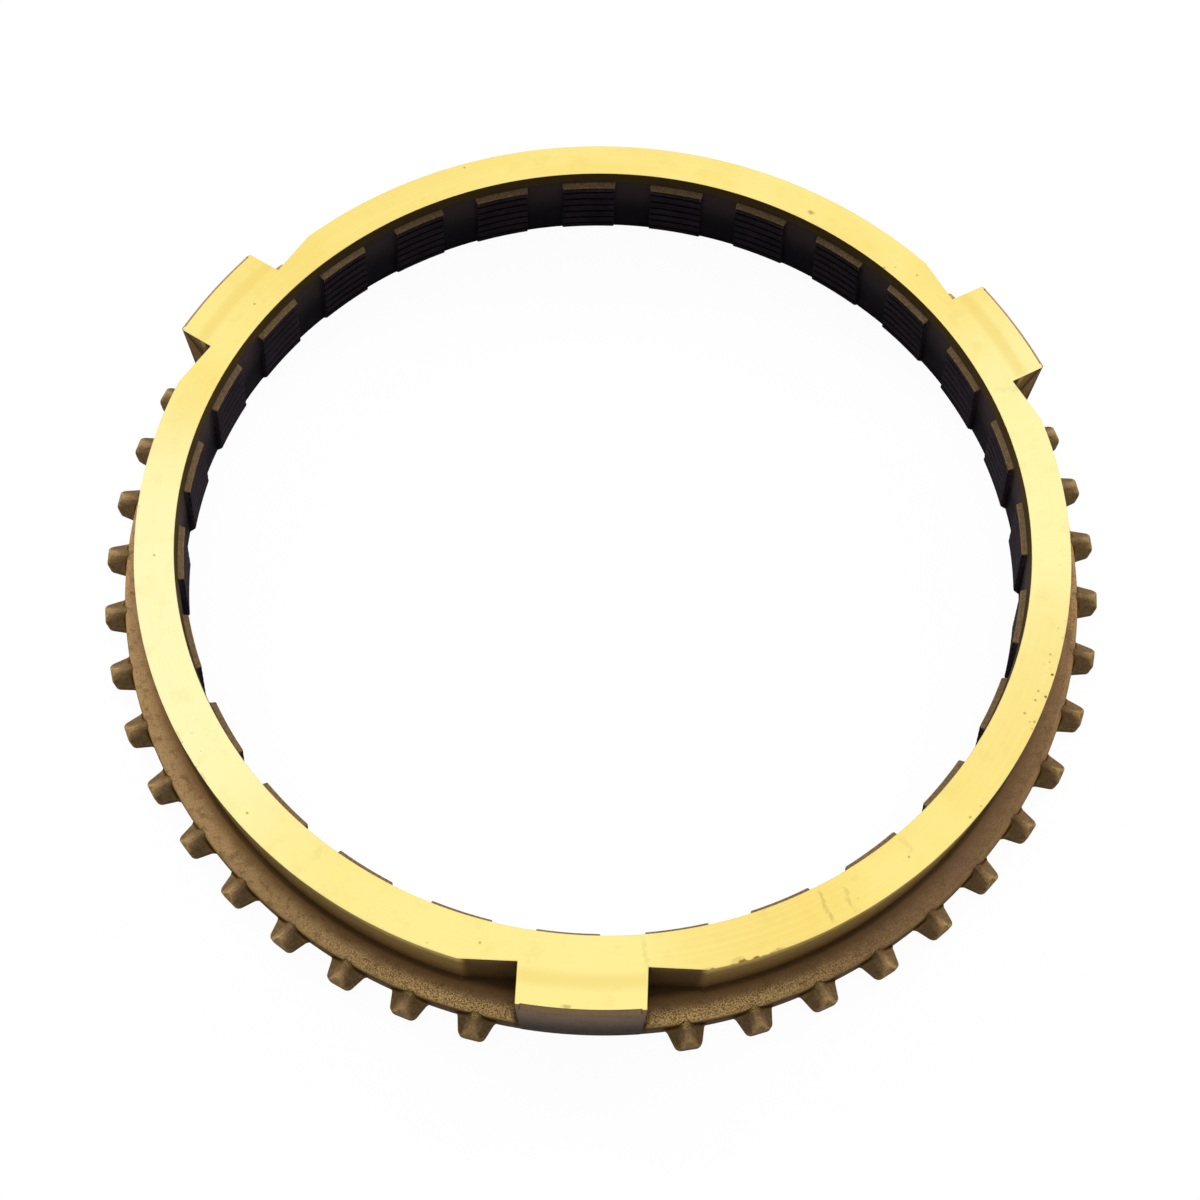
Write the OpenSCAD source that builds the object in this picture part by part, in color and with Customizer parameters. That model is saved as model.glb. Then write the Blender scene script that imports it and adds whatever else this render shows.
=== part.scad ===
// Synchronizer ring of a manual gearbox, one solid brass piece.
// It lies on its back face (the gear side) with the drive lugs flush with the top face.
// Z is the axis of the ring, and the origin is on that axis in the back face.
// All sizes are in millimetres.

/* [Collar] */
// Diameter of the plain land of the bore, just under the top face
land_d = 92; // [75:0.5:130]
// Wall between the land and the turned outside of the collar
collar_wall = 4.2; // [3.2:0.1:7]
// Height of the whole ring
ring_h = 11.6; // [10:0.1:18]

/* [Flange] */
// Width of the ledge from the collar to the rim
ledge_w = 3.2; // [2.4:0.1:6]
// Height of the rim above the back face
rim_h = 3.2; // [2.6:0.1:5]
// Radius of the hollow at the foot of the collar
foot_r = 0.6; // [0.3:0.1:1.8]
// Radius that breaks the upper edge of the rim
rim_edge_r = 0.8; // [0.2:0.05:1]

/* [Spline teeth] */
// Tooth places on the full circle, two of which stay empty at each lug
tooth_places = 48; // [36:12:48]
// Depth of a tooth beyond the rim
tooth_depth = 2.2; // [1.5:0.1:4]
// Width of a tooth where it leaves the rim
tooth_root_w = 3.9; // [3:0.1:5]
// Width of a tooth across its tip
tooth_tip_w = 2.5; // [1.6:0.1:2.9]
// Radius of the two upright edges of the tip
tooth_edge_r = 0.7; // [0.2:0.05:0.75]
// Radius of the hollow where a tooth leaves the rim
tooth_root_r = 0.8; // [0.3:0.05:1.2]
// Chamfer of the upper edge of the tip
tip_chamfer = 0.5; // [0.2:0.05:1]
// Height of the underside of the teeth above the back face
tooth_lift = 0.9; // [0.3:0.05:1]
// Height of the crest of the roof-shaped teeth above the back face
crest_h = 3; // [2.4:0.1:4]
// Width of the flat crest
crest_w = 0.4; // [0.3:0.05:1.2]
// Slope of the two roof faces beside the crest, in degrees
roof_slope = 36; // [20:1:45]

/* [Drive lugs] */
// Number of lugs, evenly spaced
lug_count = 3; // [2:1:4]
// Width of a lug between its parallel sides
lug_w = 12.5; // [8:0.1:16]
// Distance by which a lug stands proud of the rim
lug_proud = 0.1; // [0.1:0.05:0.5]
// Radius of the upright edges of a lug
lug_edge_r = 0.5; // [0.2:0.05:1.5]
// Chamfer of the upper outside edge of a lug
lug_chamfer = 0.45; // [0.2:0.05:1]
// Depth of the flat beside a lug, inside the round of the collar
flat_depth = 1.45; // [0.8:0.05:2]

/* [Friction cone] */
// Half angle of the friction cone, in degrees
cone_angle = 8.5; // [5:0.1:10]
// Number of friction pads in the bore
pad_count = 27; // [18:3:33]
// Width of a pad along the bore
pad_w = 6.2; // [4:0.1:7]
// Height of a pad above the wall between pads
pad_h = 0.9; // [0.7:0.05:1.5]
// Height of the plain land above the pads
land_h = 1.65; // [1:0.05:3]
// Angle from a lug to the nearest pad, in degrees
pad_turn = -2; // [-6:0.5:6]
// Distance between the grooves in the face of a pad
groove_pitch = 1.4; // [1:0.1:2.5]
// Depth of a groove
groove_depth = 0.4; // [0.2:0.05:0.6]
// Height of the foot of the pads above the back face
pad_lift = 0.2; // [0.2:0.05:0.6]
// Chamfer at the foot of a pad
pad_chamfer = 0.6; // [0.3:0.05:0.7]
// Chamfer of the bore at the back face, on the wall between pads
back_chamfer = 0.1; // [0.05:0.05:0.15]

/* [Hidden] */
$fn = 180;

// Brass of the machined faces
brass = [0.83, 0.69, 0.31];

// How far one volume runs into another where they are joined or cut
overlap = 0.5;

// Radii of the outside, from the bore outwards
land_r = land_d / 2;
collar_r = land_r + collar_wall;
rim_r = collar_r + ledge_w;
tip_r = rim_r + tooth_depth;
lug_r = rim_r + lug_proud;

// The hollow at the foot leaves a plain strip of ledge beside the broken edge of the rim
ledge_strip = 0.2;
foot = min(foot_r, ledge_w - rim_edge_r - ledge_strip);
// The hollow at the foot of the flats is a little tighter
flat_foot = 0.8 * foot;

// The friction cone opens towards the back face
pad_top = ring_h - land_h;
cone_slope = tan(cone_angle);
// The wall between the pads starts its taper a little below their upper faces
taper_drop = 0.2;
taper_top = pad_top - taper_drop;
function wall_at(z) = land_r + (taper_top - z) * cone_slope;
function pad_at(z) = land_r - pad_h + (pad_top - z) * cone_slope;

// Height at which the chamfer at the foot leaves the face of a pad
pad_foot = pad_lift + pad_chamfer;
// Share of a groove pitch that stays plain at the foot of a pad
plain_share = 0.5;
groove_count = floor((pad_top - pad_foot) / groove_pitch - plain_share);
pad_angle = 2 * asin(pad_w / 2 / pad_at(pad_top));

// Teeth stand between the lugs on the full pitch
empty_places = 2;
tooth_pitch = 360 / tooth_places;
teeth_per_lug = tooth_places / lug_count - empty_places;
flank_angle = atan((tooth_root_w - tooth_tip_w) / 2 / tooth_depth);
function flank_at(x) = tooth_root_w / 2 - (x - rim_r) * tan(flank_angle);
// The hollow of a tooth's root ends a little inside the rim
root_sink = 0.15;

// Corner points of a round edge about x, y, in a few even steps between two angles
edge_steps = 3;
function round_edge(x, y, r, from, to) = [
    for (i = [0 : edge_steps])
        let (a = from + (to - from) * i / edge_steps)
            [x + r * cos(a), y + r * sin(a)]
];

// Distance from the axis to the flats beside the lugs
flat_r = collar_r - flat_depth;
flat_half = sqrt(collar_r * collar_r - flat_r * flat_r);

// Repeats its children once for each lug; the first lug points along -Y
module at_lugs() {
    for (i = [0 : lug_count - 1])
        rotate(i * 360 / lug_count - 90)
            children();
}

// A square corner filled with a hollow round, at the origin and towards +X +Y
module hollow_corner(r) {
    difference() {
        translate([-overlap, -overlap])
            square(r + overlap);
        translate([r, r])
            circle(r);
    }
}

// Half section of the collar and flange, with the tapered wall of the bore
module ring_section() {
    wall_in = land_r - overlap;
    difference() {
        polygon(concat(
            [[wall_in, 0], [rim_r, 0]],
            round_edge(rim_r - rim_edge_r, rim_h - rim_edge_r, rim_edge_r, 0, 90),
            round_edge(collar_r + foot, rim_h + foot, foot, 270, 180),
            [[collar_r, ring_h], [wall_in, ring_h]]
        ));
        polygon([
            [0, -overlap],
            [wall_at(back_chamfer) + back_chamfer + overlap, -overlap],
            [wall_at(back_chamfer), back_chamfer],
            [land_r, taper_top],
            [land_r, ring_h + overlap],
            [0, ring_h + overlap]
        ]);
    }
}

// Section of a friction pad, with its V grooves; its root runs into the wall
module pad_section() {
    difference() {
        polygon([
            [pad_at(pad_foot), pad_foot],
            [pad_at(pad_foot) + pad_chamfer, pad_lift],
            [wall_at(pad_lift) + overlap, pad_lift],
            [land_r + overlap, pad_top],
            [pad_at(pad_top), pad_top]
        ]);
        for (i = [1 : groove_count])
            translate([pad_at(pad_top - i * groove_pitch), pad_top - i * groove_pitch])
                polygon([
                    [groove_depth, 0],
                    [-groove_depth, groove_depth],
                    [-groove_depth, -groove_depth]
                ]);
    }
}

// Friction pads round the bore
module pads() {
    for (i = [0 : pad_count - 1])
        rotate(pad_turn - 90 - pad_angle / 2 + i * 360 / pad_count)
            rotate_extrude(angle = pad_angle)
                pad_section();
}

// Plan of a tooth along +X: hollow roots, straight flanks, flat tip and two round edges
module tooth_plan() {
    edge_x = tip_r - tooth_edge_r;
    edge_y = tooth_tip_w / 2 + tooth_edge_r * (tan(flank_angle) - 1 / cos(flank_angle));
    root_x = rim_r + tooth_root_r - root_sink;
    root_y = flank_at(root_x) + tooth_root_r / cos(flank_angle);
    turn = 90 - flank_angle;
    polygon(concat(
        [[rim_r - overlap, -root_y]],
        round_edge(root_x, -root_y, tooth_root_r, 180, 180 - turn),
        round_edge(edge_x, -edge_y, tooth_edge_r, -turn, 0),
        round_edge(edge_x, edge_y, tooth_edge_r, 0, turn),
        round_edge(root_x, root_y, tooth_root_r, 180 + turn, 180),
        [[rim_r - overlap, root_y]]
    ));
}

// One tooth along +X, with a roof that falls to both flanks from a radial crest and a chamfer at the tip
module tooth() {
    roof_w = tooth_root_w;
    eaves_h = crest_h - (roof_w - crest_w / 2) * tan(roof_slope);
    intersection() {
        translate([0, 0, tooth_lift])
            linear_extrude(ring_h)
                tooth_plan();
        rotate([90, 0, 90])
            linear_extrude(tip_r + overlap)
                polygon([
                    [-roof_w, -ring_h],
                    [roof_w, -ring_h],
                    [roof_w, eaves_h],
                    [crest_w / 2, crest_h],
                    [-crest_w / 2, crest_h],
                    [-roof_w, eaves_h]
                ]);
        translate([0, roof_w, 0])
            rotate([90, 0, 0])
                linear_extrude(2 * roof_w)
                    polygon([
                        [0, -ring_h],
                        [tip_r + overlap, -ring_h],
                        [tip_r + overlap, crest_h - tip_chamfer - overlap],
                        [tip_r - tip_chamfer - overlap, crest_h + overlap],
                        [0, crest_h + overlap]
                    ]);
    }
}

// Teeth between the lugs
module teeth() {
    at_lugs()
        for (i = [0 : teeth_per_lug - 1])
            rotate((empty_places / 2 + 0.5 + i) * tooth_pitch)
                tooth();
}

// Plan of a lug along +X: parallel sides and round edges, running out past the turned outside
module lug_plan() {
    edge_y = lug_w / 2 - lug_edge_r;
    edge_x = sqrt(pow(lug_r - lug_edge_r + lug_proud / 2, 2) - edge_y * edge_y);
    lug_in = flat_r - overlap;
    polygon(concat(
        [[lug_in, -lug_w / 2]],
        round_edge(edge_x, -edge_y, lug_edge_r, -90, 0),
        [[lug_r + overlap, -edge_y], [lug_r + overlap, edge_y]],
        round_edge(edge_x, edge_y, lug_edge_r, 0, 90),
        [[lug_in, lug_w / 2]]
    ));
}

// Lugs over the full height, turned outside and with a chamfer on their upper outside edge
module lugs() {
    intersection() {
        at_lugs()
            linear_extrude(ring_h)
                lug_plan();
        rotate_extrude()
            polygon([
                [0, -overlap],
                [lug_r, -overlap],
                [lug_r, ring_h - lug_chamfer],
                [lug_r - lug_chamfer - overlap, ring_h + overlap],
                [0, ring_h + overlap]
            ]);
    }
}

// Cut that leaves the flats beside a lug along +X, with a hollow at their foot; it ends on the plain ledge
module flat_cut() {
    run_out = ledge_strip / 2;
    reach = flat_depth + foot + run_out;
    half = flat_half + foot + run_out;
    translate([0, half, 0])
        rotate([90, 0, 0])
            linear_extrude(2 * half)
                difference() {
                    translate([flat_r, rim_h])
                        square([reach, ring_h]);
                    translate([flat_r, rim_h])
                        hollow_corner(flat_foot);
                }
}

// The whole ring: turned blank, flats, lugs, teeth and the broached friction cone
module synchronizer_ring() {
    color(brass)
        union() {
            difference() {
                rotate_extrude()
                    ring_section();
                at_lugs()
                    flat_cut();
            }
            lugs();
            teeth();
            pads();
        }
}

synchronizer_ring();
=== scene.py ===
import math

import bmesh
import bpy
import numpy as np
from mathutils import Matrix, Vector


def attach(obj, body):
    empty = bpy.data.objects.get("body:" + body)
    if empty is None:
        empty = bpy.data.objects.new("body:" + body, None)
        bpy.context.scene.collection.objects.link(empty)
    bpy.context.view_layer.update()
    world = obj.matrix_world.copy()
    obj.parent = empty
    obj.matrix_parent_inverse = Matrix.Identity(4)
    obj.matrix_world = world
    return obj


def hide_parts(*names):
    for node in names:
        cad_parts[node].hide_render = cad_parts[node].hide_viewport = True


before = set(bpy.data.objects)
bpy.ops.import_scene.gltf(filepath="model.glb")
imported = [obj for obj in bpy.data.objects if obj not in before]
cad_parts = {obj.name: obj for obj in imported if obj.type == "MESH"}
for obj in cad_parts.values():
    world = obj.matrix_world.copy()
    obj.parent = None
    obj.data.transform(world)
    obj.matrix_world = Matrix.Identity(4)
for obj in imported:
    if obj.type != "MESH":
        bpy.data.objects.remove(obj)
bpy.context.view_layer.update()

# Sizes of the ring in millimetres, in the frame of the imported part. PAD_H, LEDGE_FALL and LUG_FOOT
# differ from the imported solid: they come from comparing renders with the photo.
LAND_R, COLLAR_R, RIM_R, TIP_R, LUG_R = 46.0, 50.2, 53.4, 55.6, 53.5
RING_H, RIM_H, FOOT_R, RIM_EDGE = 11.6, 3.2, 0.6, 0.8
FLAT_R, FLAT_FOOT = 48.75, 0.48
LUG_HALF, LUG_EDGE, LUG_CHAMFER = 6.25, 0.5, 0.45
ROOT_HALF, TIP_HALF, TIP_EDGE = 1.95, 1.25, 0.7
ROOT_R, ROOT_SINK, TIP_CHAMFER = 0.8, 0.15, 0.5
LIFT, CREST_H, CREST_HALF, ROOF = 0.9, 3.0, 0.2, math.tan(math.radians(36))
TOOTH_PITCH, TEETH_HALF = 7.5, 7
CONE = math.tan(math.radians(8.5))
PADS, PAD_W, PAD_H, PAD_TOP, PAD_TURN = 27, 6.2, 0.68, 9.95, -2.0
LEDGE_FALL = 0.3  # of a pad's upper face, inwards
PAD_LIFT, PAD_CHAMFER = 0.2, 0.6
TAPER_TOP = 9.75
GROOVES, GROOVE_PITCH, GROOVE_D = 6, 1.4, 0.4
GROOVE_UPPER = [(0.28, 0), (0.18, 0.05), (0.03, GROOVE_D)]  # rise above a groove's middle, and depth
BACK_CHAMFER = 0.1
MM = 0.001

# Small rounds that break the edges, in millimetres
TOP_BREAK, BORE_BREAK, BACK_BREAK = 0.15, 0.08, 0.25
TOOTH_BREAK, PAD_BREAK, ROOT_FILLET = 0.13, 0.12, 0.12
LUG_FOOT = 0.7  # at a lug's lower outer edge
LUG_SOFT, LUG_DIP = 0.05, 0.03  # half width and depth of the edges of a lug's chamfer
SIDE_DROP = 0.3  # from the broken upper edge of a lug's side to the next row of points
MID = 1 - math.sqrt(0.5)  # middle of a quarter round, as a share of its radius

# Circles in the top and back faces where the outside and the bore are joined
TOP_OUT, TOP_IN, BACK_OUT, BACK_IN = 47.6, 47.0, 49.6, 48.7

# Other places in millimetres
BACK_MIDDLE = 51.2  # circle of points within the back face
RIM_LOW = RIM_H - RIM_EDGE - 0.15  # a little below the rim's round edge
LEDGE_END = RIM_R - RIM_EDGE
MEET_RISE = 0.04  # of a tooth's roof where it meets the rim
SMALL_STEP = 0.02  # keeps rows of points apart
BORE_END, FLATS_START = 48.4, 49.0  # radii that part the bore from the outside

# Number of points in each stretch of the outside profile, from the top face to the back face
TOP_N, EDGE_N, WALL_N, FOOT_N, RIM_N, TOOTH_N = 3, 3, 3, 5, 4, 10

# Number of columns in the hollow and the tip's edge of half a tooth, and of steps in half a lug's face
HOLLOW_N, TIP_N, LUG_N, LUG_STEPS = 5, 7, 7, 6.2


def polar(r, angle):
    return np.array([r * math.cos(angle), r * math.sin(angle)])


def quarter(n):
    """Angles of the points after the first one along a quarter round."""
    return [math.pi / 2 * (i + 1) / n for i in range(n)]


def upper_rows(angle, stop=0.0):
    """Top face, edge, wall, foot, ledge and rim edge at one angle from a lug.

    stop is the height at which a tooth meets the rim.
    """
    flat = FLAT_R / math.cos(angle) < COLLAR_R
    wall, stretch, foot = (FLAT_R, 1 / math.cos(angle), FLAT_FOOT) if flat else (COLLAR_R, 1.0, FOOT_R)
    rows = [(TOP_OUT, RING_H), ((TOP_OUT + (wall - TOP_BREAK) * stretch) / 2, RING_H)]
    rows.append(((wall - TOP_BREAK) * stretch, RING_H))
    for a in quarter(EDGE_N):
        off, drop = TOP_BREAK * (1 - math.sin(a)), TOP_BREAK * (1 - math.cos(a))
        rows.append(((wall - off) * stretch, RING_H - drop))
    foot_top = RIM_H + foot
    for i in range(WALL_N):
        z = RING_H - TOP_BREAK + (foot_top - RING_H + TOP_BREAK) * (i + 1) / WALL_N
        rows.append((wall * stretch, z))
    for a in quarter(FOOT_N):
        rows.append(((wall + foot * (1 - math.cos(a))) * stretch, RIM_H + foot * (1 - math.sin(a))))
    rows.append(((rows[-1][0] + LEDGE_END) / 2, RIM_H))
    rows.append((LEDGE_END, RIM_H))
    last = math.acos(min(1.0, max(0.0, (stop - RIM_H + RIM_EDGE) / RIM_EDGE)))
    for i in range(RIM_N):
        a = last * (i + 1) / RIM_N
        rows.append((LEDGE_END + RIM_EDGE * math.sin(a), RIM_H - RIM_EDGE * (1 - math.cos(a))))
    return [(*polar(r, angle), z) for r, z in rows]


def lower_rows(angle, outside=RIM_R):
    """Lower part of the rim, its broken edge and the back face at one angle; a lug's edge is rounder."""
    edge = BACK_BREAK + (LUG_FOOT - BACK_BREAK) * (outside - RIM_R) / (LUG_R - RIM_R)
    rows = [(outside, LIFT - ROOT_FILLET), (outside, edge)]
    rows += [(outside - MID * edge, MID * edge), (outside - edge, 0.0)]
    rows += [(BACK_MIDDLE, 0.0), (BACK_OUT, 0.0)]
    return [(*polar(r, angle), z) for r, z in rows]


def rim_column(angle, top):
    """Column beside the teeth, whose tooth rows all lie on the rim from a height downwards."""
    heights = np.linspace(top, LIFT, TOOTH_N)
    return upper_rows(angle) + [(*polar(RIM_R, angle), z) for z in heights] + lower_rows(angle)


def plain_column(angle):
    return rim_column(angle, RIM_LOW)


def roof(y):
    """Height of the roof-shaped tooth at a distance from its middle, with a slightly rounded crest."""
    y, soft = abs(y), 0.1
    if y > CREST_HALF + soft:
        return CREST_H - (y - CREST_HALF) * ROOF
    return CREST_H - max(0.0, y - CREST_HALF + soft) ** 2 / (4 * soft) * ROOF


def tooth_top(p):
    return min(roof(p[1]), CREST_H - TIP_CHAMFER + TIP_R - p[0])


def rim_at(height):
    """Radius of the rim's rounded edge at a height."""
    rise = max(0.0, height - RIM_H + RIM_EDGE)
    return RIM_R - RIM_EDGE + math.sqrt(RIM_EDGE ** 2 - rise ** 2)


FLANK = math.atan((ROOT_HALF - TIP_HALF) / (TIP_R - RIM_R))
FLANK_TURN = 90 - math.degrees(FLANK)
EDGE_X = TIP_R - TIP_EDGE
EDGE_Y = TIP_HALF + TIP_EDGE * (math.tan(FLANK) - 1 / math.cos(FLANK))
HOLLOW_X = RIM_R + ROOT_R - ROOT_SINK
HOLLOW_Y = ROOT_HALF - (HOLLOW_X - RIM_R) * math.tan(FLANK) + ROOT_R / math.cos(FLANK)
HOLLOW_END, TIP_START = 1.6, 1.32  # y on the rim of the columns where these end and start


def on_hollow(turn):
    """Point of the hollow at a tooth's root, at an angle in degrees, and the direction into the tooth."""
    away = polar(1, math.radians(turn))
    return np.array([HOLLOW_X, HOLLOW_Y]) + ROOT_R * away, away


def on_tip(turn):
    """Point of the round edge at a tooth's tip, at an angle in degrees, and the direction into the tooth."""
    away = polar(1, math.radians(turn))
    return np.array([EDGE_X, EDGE_Y]) + TIP_EDGE * away, -away


def hollow_start():
    """Angle at which the hollow leaves the rim."""
    low, high = 180.0, 180.0 + FLANK_TURN
    for _ in range(40):
        middle = (low + high) / 2
        if np.linalg.norm(on_hollow(middle)[0]) < RIM_R:
            low = middle
        else:
            high = middle
    return high


def half_tooth():
    """Half of a tooth, from its foot to its middle.

    Each entry has an outline point, the direction into the tooth and y at the root.
    """
    start, end = hollow_start(), 180 + FLANK_TURN
    foot_y = on_hollow(start)[0][1]
    outline = [on_hollow(t) for t in np.linspace(start, end, HOLLOW_N)[1:]]
    roots = list(np.linspace(foot_y, HOLLOW_END, HOLLOW_N)[1:])
    outline += [on_tip(t) for t in np.linspace(FLANK_TURN, 0, TIP_N)]
    roots += list(np.linspace(TIP_START, EDGE_Y, TIP_N))
    for y in (0.5, 0.32, 0.24, 0.16, 0.1, 0.0):
        outline.append((np.array([TIP_R, y]), np.array([-1.0, 0.0])))
        roots.append(y)
    return foot_y, [(p, inward, y) for (p, inward), y in zip(outline, roots)]


TOOTH_FOOT, TOOTH_HALF = half_tooth()


def turned(points, angle):
    c, s = math.cos(angle), math.sin(angle)
    return [(x * c - y * s, x * s + y * c, z) for x, y, z in points]


def tooth_column(middle, outline, inward, root_y, side):
    """Column over a tooth whose middle is at an angle from the lug; side is -1 or 1."""
    meet = roof(root_y) + MEET_RISE
    root_r = rim_at(meet)
    root = np.array([math.sqrt(root_r ** 2 - root_y ** 2), root_y])
    reach = np.linalg.norm(outline - root)
    soft = min(TOOTH_BREAK, 0.4 * reach)
    far = outline + inward * soft
    near = root + (far - root) * min(0.3, ROOT_FILLET / reach)
    between = (near + far) / 2
    chamfer_x = TIP_R - TIP_CHAMFER + CREST_H - roof(far[1])
    if near[0] < chamfer_x < far[0]:
        between = near + (far - near) * (chamfer_x - near[0]) / (far[0] - near[0])
    half_soft = outline + inward * MID * soft
    under_r = RIM_R + min(ROOT_FILLET, 0.3 * reach)
    under = np.array([math.sqrt(under_r ** 2 - root_y ** 2), root_y])
    points = [(*root, meet)] + [(*p, tooth_top(p)) for p in (near, between, far)]
    points += [(*half_soft, tooth_top(half_soft) - MID * soft), (*outline, tooth_top(outline) - soft)]
    points += [(*outline, LIFT + soft), (*half_soft, LIFT + MID * soft), (*far, LIFT), (*under, LIFT)]
    points = [(x, side * y, z) for x, y, z in points]
    angle = middle + side * math.atan2(root_y, root[0])
    return upper_rows(angle, meet) + turned(points, middle) + lower_rows(angle)


TOOTH_REACH = math.asin(TOOTH_FOOT / RIM_R)


def tooth_columns(middle):
    foot = roof(TOOTH_FOOT) + MEET_RISE
    columns = [rim_column(middle - TOOTH_REACH, foot)]
    columns += [tooth_column(middle, *at, -1) for at in TOOTH_HALF]
    columns += [tooth_column(middle, *at, 1) for at in reversed(TOOTH_HALF[:-1])]
    return columns + [rim_column(middle + TOOTH_REACH, foot)]


LUG_Y = LUG_HALF - LUG_EDGE
LUG_X = math.sqrt((LUG_R - LUG_EDGE) ** 2 - LUG_Y ** 2)
LUG_TURN = math.degrees(math.atan2(LUG_Y, LUG_X))
TOP_ROWS = TOP_N + EDGE_N + WALL_N


def rim_rows_at(point):
    """Ledge, rim edge and rim below a lug's outside.

    They show only where the lug's round edge falls inside the rim.
    """
    angle, reach = math.atan2(point[1], point[0]), math.hypot(*point)
    ledge = max(reach, LEDGE_END)
    rows = [(ledge * 0.5 + reach * 0.5, RIM_H), (ledge, RIM_H - SMALL_STEP)]
    for a in quarter(RIM_N):
        r = max(reach, LEDGE_END + RIM_EDGE * math.sin(a))
        rows.append((r, RIM_H - SMALL_STEP - (RIM_EDGE - SMALL_STEP) * (1 - math.cos(a))))
    outside = max(reach, RIM_R)
    rows += [(outside, z) for z in np.linspace(RIM_LOW, LIFT, TOOTH_N)]
    return [(*polar(r, angle), z) for r, z in rows] + lower_rows(angle, outside)


def lug_column(point, inward, chamfer, start):
    """Column over the top and outside of a lug.

    It takes an outline point, the direction into the lug, the chamfer and the start angle.
    """
    begin = polar(TOP_OUT, start)
    edge = point + inward * (chamfer + LUG_SOFT)
    rows = []
    for i in range(TOP_ROWS):
        p = begin + (edge - begin) * i / (TOP_ROWS - 1)
        rows.append((*p, RING_H))
    rows.append((*(point + inward * (chamfer - LUG_SOFT)), RING_H - LUG_DIP))
    rows.append((*(point + inward * LUG_DIP), RING_H - chamfer + LUG_SOFT))
    rows.append((*point, RING_H - chamfer - LUG_SOFT))
    for i in range(FOOT_N - 3):
        z = RING_H - chamfer - LUG_SOFT + (RIM_H - RING_H + chamfer + LUG_SOFT) * (i + 1) / (FOOT_N - 3)
        rows.append((*point, z))
    return rows + rim_rows_at(point)


def lug_columns():
    """Half of a lug, from its middle to the foot of its side."""
    columns = []
    for i in range(LUG_N):
        a = math.radians(LUG_TURN) * i / LUG_STEPS
        columns.append(lug_column(polar(LUG_R, a), -polar(1, a), LUG_CHAMFER, a * 0.99))
    inner_y = LUG_HALF - TOP_BREAK
    corner = np.array([FLAT_R - TOP_BREAK, inner_y])
    start = math.atan2(inner_y, FLAT_R - TOP_BREAK)
    for turn in (LUG_TURN, 16, 28, 42, 60):
        a = math.radians(turn)
        point = np.array([LUG_X, LUG_Y]) + LUG_EDGE * polar(1, a)
        chamfer = LUG_CHAMFER + (TOP_BREAK - LUG_CHAMFER) * (turn - LUG_TURN) / (90 - LUG_TURN)
        columns.append(lug_column(point, -polar(1, a), chamfer, start * (0.86 + 0.1 * turn / 60)))
    side = side_column()
    half_break = MID * TOP_BREAK
    for turn, inset, drop in ((76, TOP_BREAK, 0.0), (84, half_break, half_break), (90, 0.0, TOP_BREAK)):
        a = math.radians(turn)
        point = np.array([LUG_X, LUG_Y]) + LUG_EDGE * polar(1, a)
        end = point - inset * polar(1, a)
        rows = [(*polar(TOP_OUT, start), RING_H), side[1], side[2]]
        meet = np.array([FLAT_R - inset, LUG_HALF - inset])
        for q in quarter(EDGE_N):
            p = corner + (meet - corner) * math.sin(q)
            rows.append((*p, RING_H - drop * math.sin(q)))
        for i in range(WALL_N):
            p = meet + (end - meet) * (i + 1) / WALL_N
            rows.append((*p, RING_H - drop))
        rows.append((*(end + (point - end) * 0.7), RING_H - drop - (TOP_BREAK - drop) * 0.3 - 0.01))
        rows.append((*point, RING_H - TOP_BREAK - SMALL_STEP))
        rows.append((*point, RING_H - TOP_BREAK - SIDE_DROP))
        for i in range(FOOT_N - 3):
            fall = (RIM_H - RING_H + TOP_BREAK + SIDE_DROP) * (i + 1) / (FOOT_N - 3)
            z = RING_H - TOP_BREAK - SIDE_DROP + fall
            rows.append((*point, z))
        columns.append(rows + rim_rows_at(point))
    return columns + [beside_foot(side, columns[-1]), side]


def side_column():
    """Foot of a lug's side: the profile of flat, ledge and rim just beside that side."""
    start = math.atan2(LUG_HALF - TOP_BREAK, FLAT_R - TOP_BREAK)
    corner = np.array([FLAT_R - TOP_BREAK, LUG_HALF - TOP_BREAK])
    foot_y = LUG_HALF + ROOT_FILLET
    first = polar(TOP_OUT, start)
    rows = [(*first, RING_H), (*((first + corner) / 2), RING_H), (*corner, RING_H)]
    for a in quarter(EDGE_N):
        off, drop = TOP_BREAK * (1 - math.sin(a)), TOP_BREAK * (1 - math.cos(a))
        rows.append((FLAT_R - off, LUG_HALF - off, RING_H - drop))
    foot_top = RIM_H + FLAT_FOOT
    for i in range(WALL_N):
        z = RING_H - TOP_BREAK + (foot_top - RING_H + TOP_BREAK) * (i + 1) / WALL_N
        rows.append((FLAT_R, foot_y, z))
    for a in quarter(FOOT_N):
        rows.append((FLAT_R + FLAT_FOOT * (1 - math.cos(a)), foot_y, RIM_H + FLAT_FOOT * (1 - math.sin(a))))

    def beside(r):
        return math.sqrt(r * r - foot_y ** 2)

    rows += [((rows[-1][0] + beside(LEDGE_END)) / 2, foot_y, RIM_H), (beside(LEDGE_END), foot_y, RIM_H)]
    for a in quarter(RIM_N):
        r = LEDGE_END + RIM_EDGE * math.sin(a)
        rows.append((beside(r), foot_y, RIM_H - RIM_EDGE * (1 - math.cos(a))))
    for z in np.linspace(RIM_LOW, LIFT, TOOTH_N):
        rows.append((beside(RIM_R), foot_y, z))
    return rows + lower_rows(math.asin(foot_y / RIM_R))


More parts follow.
